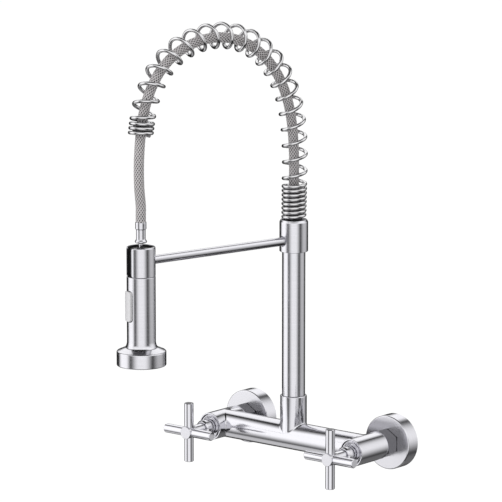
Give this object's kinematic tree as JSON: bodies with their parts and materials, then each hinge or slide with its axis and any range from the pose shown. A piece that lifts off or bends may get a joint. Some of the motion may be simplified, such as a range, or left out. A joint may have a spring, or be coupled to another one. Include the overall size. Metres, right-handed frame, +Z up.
{
  "type": "pre-rinse faucet",
  "caption": "Wall-mounted pre-rinse kitchen faucet: two cross-handle valves on a bridge, a swivelling riser with a coil-spring hose arch, and a pull-down spray head in a slotted holder.",
  "frame": {"origin": "midway between the two inlets on the finished wall's face, which the flanges rest on", "axes": "+X along the bridge to the user's right, +Y into the wall, +Z up along the riser"},
  "size_m": [0.2708, 0.3038, 0.5094],
  "materials": {
    "brushed_nickel": "brushed",
    "polished_nickel": "polished",
    "spring_steel": "polished",
    "nut_steel": "satin",
    "hose_braid": "woven",
    "black_plastic": "matte",
    "button_plastic": "satin",
    "grey_rubber": "matte",
    "seal_rubber": "matte",
    "brass": "machined",
    "ceramic": "lapped",
    "screw_steel": "plain",
    "white_plastic": "moulded"
  },
  "bodies": {
    "bridge": {"hot_wall_adapter": "brass", "hot_wall_flange": "polished_nickel", "hot_union_nut": "nut_steel", "hot_inlet_washer": "seal_rubber", "hot_seat_seal": "seal_rubber", "hot_cartridge": "brass", "hot_fixed_disc": "ceramic", "hot_bonnet": "brushed_nickel", "cold_wall_adapter": "brass", "cold_wall_flange": "polished_nickel", "cold_union_nut": "nut_steel", "cold_inlet_washer": "seal_rubber", "cold_seat_seal": "seal_rubber", "cold_cartridge": "brass", "cold_fixed_disc": "ceramic", "cold_bonnet": "brushed_nickel", "bridge_body": "brushed_nickel", "riser_lock_screw": "screw_steel"},
    "hot_handle": {"hot_handle": "brushed_nickel", "hot_handle_screw": "screw_steel", "hot_index_cap": "brushed_nickel", "hot_stem": "brass", "hot_moving_disc": "ceramic"},
    "cold_handle": {"cold_handle": "brushed_nickel", "cold_handle_screw": "screw_steel", "cold_index_cap": "brushed_nickel", "cold_stem": "brass", "cold_moving_disc": "ceramic"},
    "spout": {"riser_pipe": "brushed_nickel", "riser_o_rings": "seal_rubber", "collar": "brushed_nickel", "collar_screw": "screw_steel", "hose_nipple": "brass", "arm_rod": "brushed_nickel", "arm_bolt": "screw_steel", "holder_sleeve": "brushed_nickel", "holder_liner": "black_plastic", "arch_spring": "spring_steel", "arch_hose": "hose_braid", "drop_hose": "hose_braid"},
    "hose_end": {"hose_ferrule": "polished_nickel", "hose_tail": "polished_nickel"},
    "spray_head": {"spray_neck": "black_plastic", "spray_shell": "brushed_nickel", "check_valve": "white_plastic", "diverter_housing": "black_plastic", "button_pin": "screw_steel", "button_plunger": "screw_steel", "spray_plate": "black_plastic", "spray_face": "grey_rubber", "aerator": "white_plastic"},
    "button": {"spray_button": "button_plastic"}
  },
  "joints": [
    {"name": "hot_turn", "type": "hinge", "parent": "bridge", "child": "hot_handle", "pos_m": [-0.1016, -0.1185, 0], "axis": [0, -1, 0], "range_deg": [0, 90]},
    {"name": "cold_turn", "type": "hinge", "parent": "bridge", "child": "cold_handle", "pos_m": [0.1016, -0.1185, 0], "axis": [0, 1, 0], "range_deg": [0, 90]},
    {"name": "spout_swing", "type": "hinge", "parent": "bridge", "child": "spout", "pos_m": [0, -0.057, 0], "axis": [0, 0, 1], "range_deg": [-77, 103]},
    {"name": "sprayer_pull", "type": "slide", "parent": "spout", "child": "hose_end", "axis": [0, 0, -1], "range_m": [0, 0.12], "stiffness_N_per_m": 60, "springref_m": -0.12, "deforming": ["drop_hose"]},
    {"name": "sprayer_swivel", "type": "hinge", "parent": "hose_end", "child": "spray_head", "pos_m": [-0.04688, -0.2617, 0.2258], "axis": [0, 0, 1], "continuous": true},
    {"name": "button_rock", "type": "hinge", "parent": "spray_head", "child": "button", "pos_m": [-0.04986, -0.26858, 0.1753], "axis": [0.9178, -0.3971, 0], "range_deg": [-2.5, 2.5]}
  ]
}
